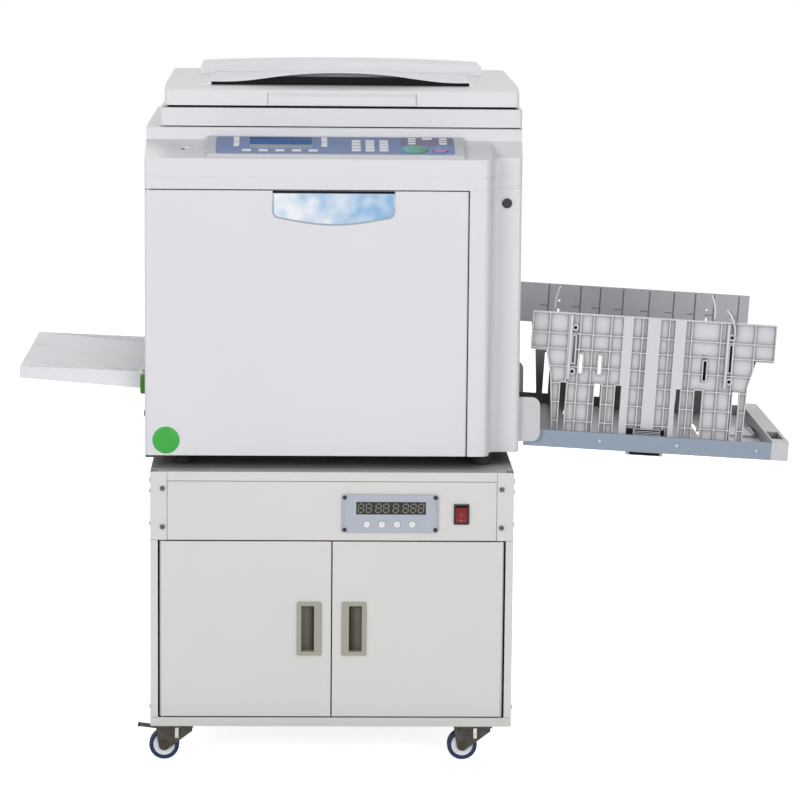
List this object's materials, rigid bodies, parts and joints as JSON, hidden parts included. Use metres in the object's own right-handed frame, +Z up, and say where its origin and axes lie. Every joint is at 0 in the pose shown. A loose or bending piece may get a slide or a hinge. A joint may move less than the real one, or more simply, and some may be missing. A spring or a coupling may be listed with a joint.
{
  "type": "digital duplicator",
  "caption": "Floor-standing digital duplicator on a wheeled steel cabinet, with hinged platen cover, front door, feed tray and fenced receiving tray",
  "frame": {"origin": "on the floor, under the middle of the cabinet", "axes": "+X to the right seen from the front, +Y to the rear, +Z up"},
  "size_m": [1.2911, 0.6226, 1.141],
  "materials": {
    "stand_steel": "satin powder coat",
    "screw_zinc": "zinc plated",
    "counter_blue_grey": "printed sheet",
    "display_black": "clear tinted window",
    "rocker_black": "moulded",
    "rocker_red": "translucent moulded",
    "button_black": "moulded",
    "pull_beige": "fine texture",
    "caster_zinc": "zinc plated pressing",
    "tyre_navy": "moulded",
    "shell_white": "fine spark texture",
    "shelf_grey": "fine spark texture",
    "foot_rubber": "moulded",
    "chassis_steel": "galvanised",
    "inlet_black": "moulded",
    "glass": "float glass",
    "key_white": "moulded",
    "lcd_grey": "display film",
    "key_green": "moulded",
    "key_magenta": "moulded",
    "drum_screen": "woven screen",
    "drum_blue": "moulded",
    "roller_rubber": "ground rubber",
    "tray_grey": "fine texture",
    "rail_blue": "satin paint",
    "knob_green": "moulded"
  },
  "bodies": {
    "machine": {"stand_frame": "stand_steel", "stand_panels": "stand_steel", "stand_screws": "screw_zinc", "counter_plate": "counter_blue_grey", "counter_display": "display_black", "rocker_bezel": "rocker_black", "caster_plates": "caster_zinc", "base_frame": "chassis_steel", "body_feet": "foot_rubber", "chassis_plates": "chassis_steel", "left_cover": "shell_white", "right_cover": "shell_white", "rear_cover": "shell_white", "power_inlet": "inlet_black", "upper_cover": "shell_white", "scanner_housing": "shell_white", "platen_glass": "glass", "operation_panel": "shelf_grey", "panel_keys": "key_white", "lcd_window": "lcd_grey", "cover_hinges": "chassis_steel", "drum_frame": "drum_blue", "ink_bottle": "button_black", "receiving_tray": "tray_grey", "receiving_rail": "rail_blue", "tray_brackets": "shelf_grey"},
    "platen_lid": {"platen_cover": "shell_white", "cover_hood": "shell_white"},
    "front_door": {"front_door": "shell_white"},
    "left_cabinet_door": {"left_cabinet_door": "stand_steel", "left_door_pull": "pull_beige"},
    "right_cabinet_door": {"right_cabinet_door": "stand_steel", "right_door_pull": "pull_beige"},
    "rocker": {"rocker_button": "rocker_red"},
    "start_key": {"start_key": "key_green"},
    "stop_key": {"stop_key": "key_magenta"},
    "pillar_button": {"pillar_button": "button_black"},
    "print_drum": {"print_drum": "drum_screen"},
    "pressure_roller": {"pressure_roller": "roller_rubber"},
    "pickup_roller": {"pickup_roller": "roller_rubber"},
    "feed_lift": {"feed_lift": "chassis_steel"},
    "feed_tray": {"feed_tray": "tray_grey"},
    "feed_knob": {"feed_knob": "knob_green"},
    "feed_button": {"feed_button": "button_black"},
    "fence_front": {"fence_front": "tray_grey"},
    "fence_rear": {"fence_rear": "tray_grey"},
    "end_stop": {"end_stop": "tray_grey"},
    "brake_pedal": {"brake_pedal": "caster_zinc"},
    "counter_button_1": {"counter_button_1": "key_white"},
    "counter_button_2": {"counter_button_2": "key_white"},
    "counter_button_3": {"counter_button_3": "key_white"},
    "counter_button_4": {"counter_button_4": "key_white"},
    "fork_front_left": {"caster_fork_front_left": "caster_zinc"},
    "wheel_front_left": {"caster_wheel_front_left": "tyre_navy"},
    "fork_front_right": {"caster_fork_front_right": "caster_zinc"},
    "wheel_front_right": {"caster_wheel_front_right": "tyre_navy"},
    "fork_rear_left": {"caster_fork_rear_left": "caster_zinc"},
    "wheel_rear_left": {"caster_wheel_rear_left": "tyre_navy"},
    "fork_rear_right": {"caster_fork_rear_right": "caster_zinc"},
    "wheel_rear_right": {"caster_wheel_rear_right": "tyre_navy"}
  },
  "joints": [
    {"name": "platen_cover_hinge", "type": "hinge", "parent": "machine", "child": "platen_lid", "pos_m": [0, 0.333, 1.094], "axis": [-1, 0, 0], "range_deg": [0, 75]},
    {"name": "front_door_hinge", "type": "hinge", "parent": "machine", "child": "front_door", "pos_m": [-0.304, -0.234, 0.7], "axis": [0, 0, -1], "range_deg": [0, 110]},
    {"name": "left_cabinet_door_hinge", "type": "hinge", "parent": "machine", "child": "left_cabinet_door", "pos_m": [-0.28, -0.27, 0.2], "axis": [0, 0, -1], "range_deg": [0, 110]},
    {"name": "right_cabinet_door_hinge", "type": "hinge", "parent": "machine", "child": "right_cabinet_door", "pos_m": [0.28, -0.27, 0.2], "axis": [0, 0, 1], "range_deg": [0, 110]},
    {"name": "power_rocker_press", "type": "hinge", "parent": "machine", "child": "rocker", "pos_m": [0.2135, -0.268, 0.4215], "axis": [1, 0, 0], "range_deg": [-16, 0]},
    {"name": "counter_button_1_press", "type": "slide", "parent": "machine", "child": "counter_button_1", "axis": [0, 1, 0], "range_m": [0, 0.001], "stiffness_N_per_m": 400, "springref_m": -0.001},
    {"name": "counter_button_2_press", "type": "slide", "parent": "machine", "child": "counter_button_2", "axis": [0, 1, 0], "range_m": [0, 0.001], "stiffness_N_per_m": 400, "springref_m": -0.001},
    {"name": "counter_button_3_press", "type": "slide", "parent": "machine", "child": "counter_button_3", "axis": [0, 1, 0], "range_m": [0, 0.001], "stiffness_N_per_m": 400, "springref_m": -0.001},
    {"name": "counter_button_4_press", "type": "slide", "parent": "machine", "child": "counter_button_4", "axis": [0, 1, 0], "range_m": [0, 0.001], "stiffness_N_per_m": 400, "springref_m": -0.001},
    {"name": "start_key_press", "type": "slide", "parent": "machine", "child": "start_key", "axis": [0, 0.3256, -0.9455], "range_m": [0, 0.001], "stiffness_N_per_m": 400, "springref_m": -0.001},
    {"name": "stop_key_press", "type": "slide", "parent": "machine", "child": "stop_key", "axis": [0, 0.3256, -0.9455], "range_m": [0, 0.001], "stiffness_N_per_m": 400, "springref_m": -0.001},
    {"name": "pillar_button_press", "type": "slide", "parent": "machine", "child": "pillar_button", "axis": [0, 1, 0], "range_m": [0, 0.001], "stiffness_N_per_m": 400, "springref_m": -0.001},
    {"name": "feed_button_press", "type": "slide", "parent": "machine", "child": "feed_button", "axis": [1, 0, 0], "range_m": [0, 0.001], "stiffness_N_per_m": 400, "springref_m": -0.001},
    {"name": "drum_spin", "type": "hinge", "parent": "machine", "child": "print_drum", "pos_m": [-0.04, 0, 0.745], "axis": [0, 1, 0], "continuous": true},
    {"name": "pressure_roller_spin", "type": "hinge", "parent": "machine", "child": "pressure_roller", "pos_m": [-0.04, 0, 0.6296], "axis": [0, 1, 0], "continuous": true},
    {"name": "pickup_roller_spin", "type": "hinge", "parent": "machine", "child": "pickup_roller", "pos_m": [-0.28, 0.05, 0.666], "axis": [0, 1, 0], "continuous": true},
    {"name": "feed_tray_lift", "type": "slide", "parent": "machine", "child": "feed_lift", "axis": [0, 0, -1], "range_m": [0, 0.09]},
    {"name": "feed_tray_fold", "type": "hinge", "parent": "feed_lift", "child": "feed_tray", "pos_m": [-0.316, 0.05, 0.638], "axis": [0, 1, 0], "range_deg": [0, 85]},
    {"name": "feed_knob_turn", "type": "hinge", "parent": "machine", "child": "feed_knob", "pos_m": [-0.314, -0.195, 0.625], "axis": [1, 0, 0], "continuous": true},
    {"name": "fence_front_slide", "type": "slide", "parent": "machine", "child": "fence_front", "axis": [0, 1, 0], "range_m": [0, 0.09]},
    {"name": "fence_rear_slide", "type": "slide", "parent": "machine", "child": "fence_rear", "axis": [0, 1, 0], "range_m": [-0.09, 0]},
    {"name": "end_stop_fold", "type": "hinge", "parent": "machine", "child": "end_stop", "pos_m": [0.73316, 0.05, 0.51078], "axis": [0, 1, 0], "range_deg": [0, 90]},
    {"name": "caster_front_left_swivel", "type": "hinge", "parent": "machine", "child": "fork_front_left", "pos_m": [-0.26, -0.243, 0.055], "axis": [0, 0, 1], "continuous": true},
    {"name": "caster_front_left_spin", "type": "hinge", "parent": "fork_front_left", "child": "wheel_front_left", "pos_m": [-0.278, -0.243, 0.025], "axis": [0, 1, 0], "continuous": true},
    {"name": "caster_front_right_swivel", "type": "hinge", "parent": "machine", "child": "fork_front_right", "pos_m": [0.238, -0.243, 0.055], "axis": [0, 0, 1], "continuous": true},
    {"name": "caster_front_right_spin", "type": "hinge", "parent": "fork_front_right", "child": "wheel_front_right", "pos_m": [0.22, -0.243, 0.025], "axis": [0, 1, 0], "continuous": true},
    {"name": "caster_rear_left_swivel", "type": "hinge", "parent": "machine", "child": "fork_rear_left", "pos_m": [-0.26, 0.243, 0.055], "axis": [0, 0, 1], "continuous": true},
    {"name": "caster_rear_left_spin", "type": "hinge", "parent": "fork_rear_left", "child": "wheel_rear_left", "pos_m": [-0.278, 0.243, 0.025], "axis": [0, 1, 0], "continuous": true},
    {"name": "caster_rear_right_swivel", "type": "hinge", "parent": "machine", "child": "fork_rear_right", "pos_m": [0.238, 0.243, 0.055], "axis": [0, 0, 1], "continuous": true},
    {"name": "caster_rear_right_spin", "type": "hinge", "parent": "fork_rear_right", "child": "wheel_rear_right", "pos_m": [0.22, 0.243, 0.025], "axis": [0, 1, 0], "continuous": true},
    {"name": "brake_pedal_press", "type": "hinge", "parent": "fork_front_left", "child": "brake_pedal", "pos_m": [-0.284, -0.243, 0.0529], "axis": [0, -1, 0], "range_deg": [0, 10]}
  ],
  "couplings": [
    {"joint": "fence_rear_slide", "follows": "fence_front_slide", "ratio": -1},
    {"joint": "pressure_roller_spin", "follows": "drum_spin", "ratio": -4.75}
  ]
}
